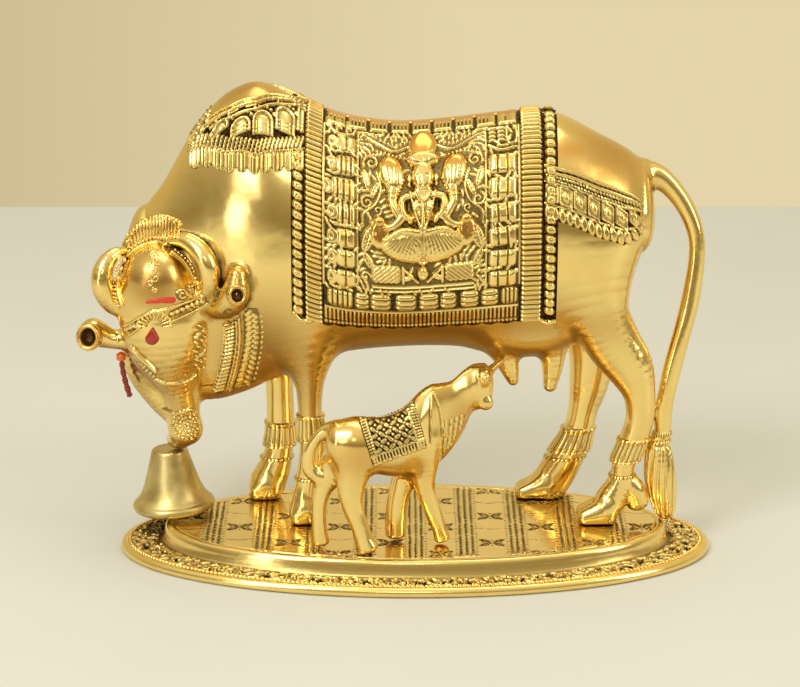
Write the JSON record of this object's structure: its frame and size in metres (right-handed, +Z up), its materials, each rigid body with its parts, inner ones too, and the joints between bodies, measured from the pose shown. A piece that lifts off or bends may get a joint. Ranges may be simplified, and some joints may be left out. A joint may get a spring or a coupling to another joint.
{
  "type": "cow and calf statue",
  "caption": "Gold-plated Kamadhenu figure: a decorated cow lets her calf drink on a stepped oval base, with a small bell below her muzzle.",
  "frame": {"origin": "centre of the oval base's underside", "axes": "+X along the cow from her head to her tail, +Y away from the calf's side, +Z up"},
  "size_m": [0.2125, 0.103, 0.1582],
  "materials": {
    "gold_plate": "polished gold plate, antiqued dark in the carving",
    "bell_brass": "satin",
    "red_thread": "matte",
    "orange_bead": "gloss"
  },
  "bodies": {
    "root": {"base_plate": "gold_plate", "cow": "gold_plate", "calf": "gold_plate", "bell": "bell_brass", "thread": "red_thread", "thread_bead": "orange_bead"}
  },
  "joints": []
}
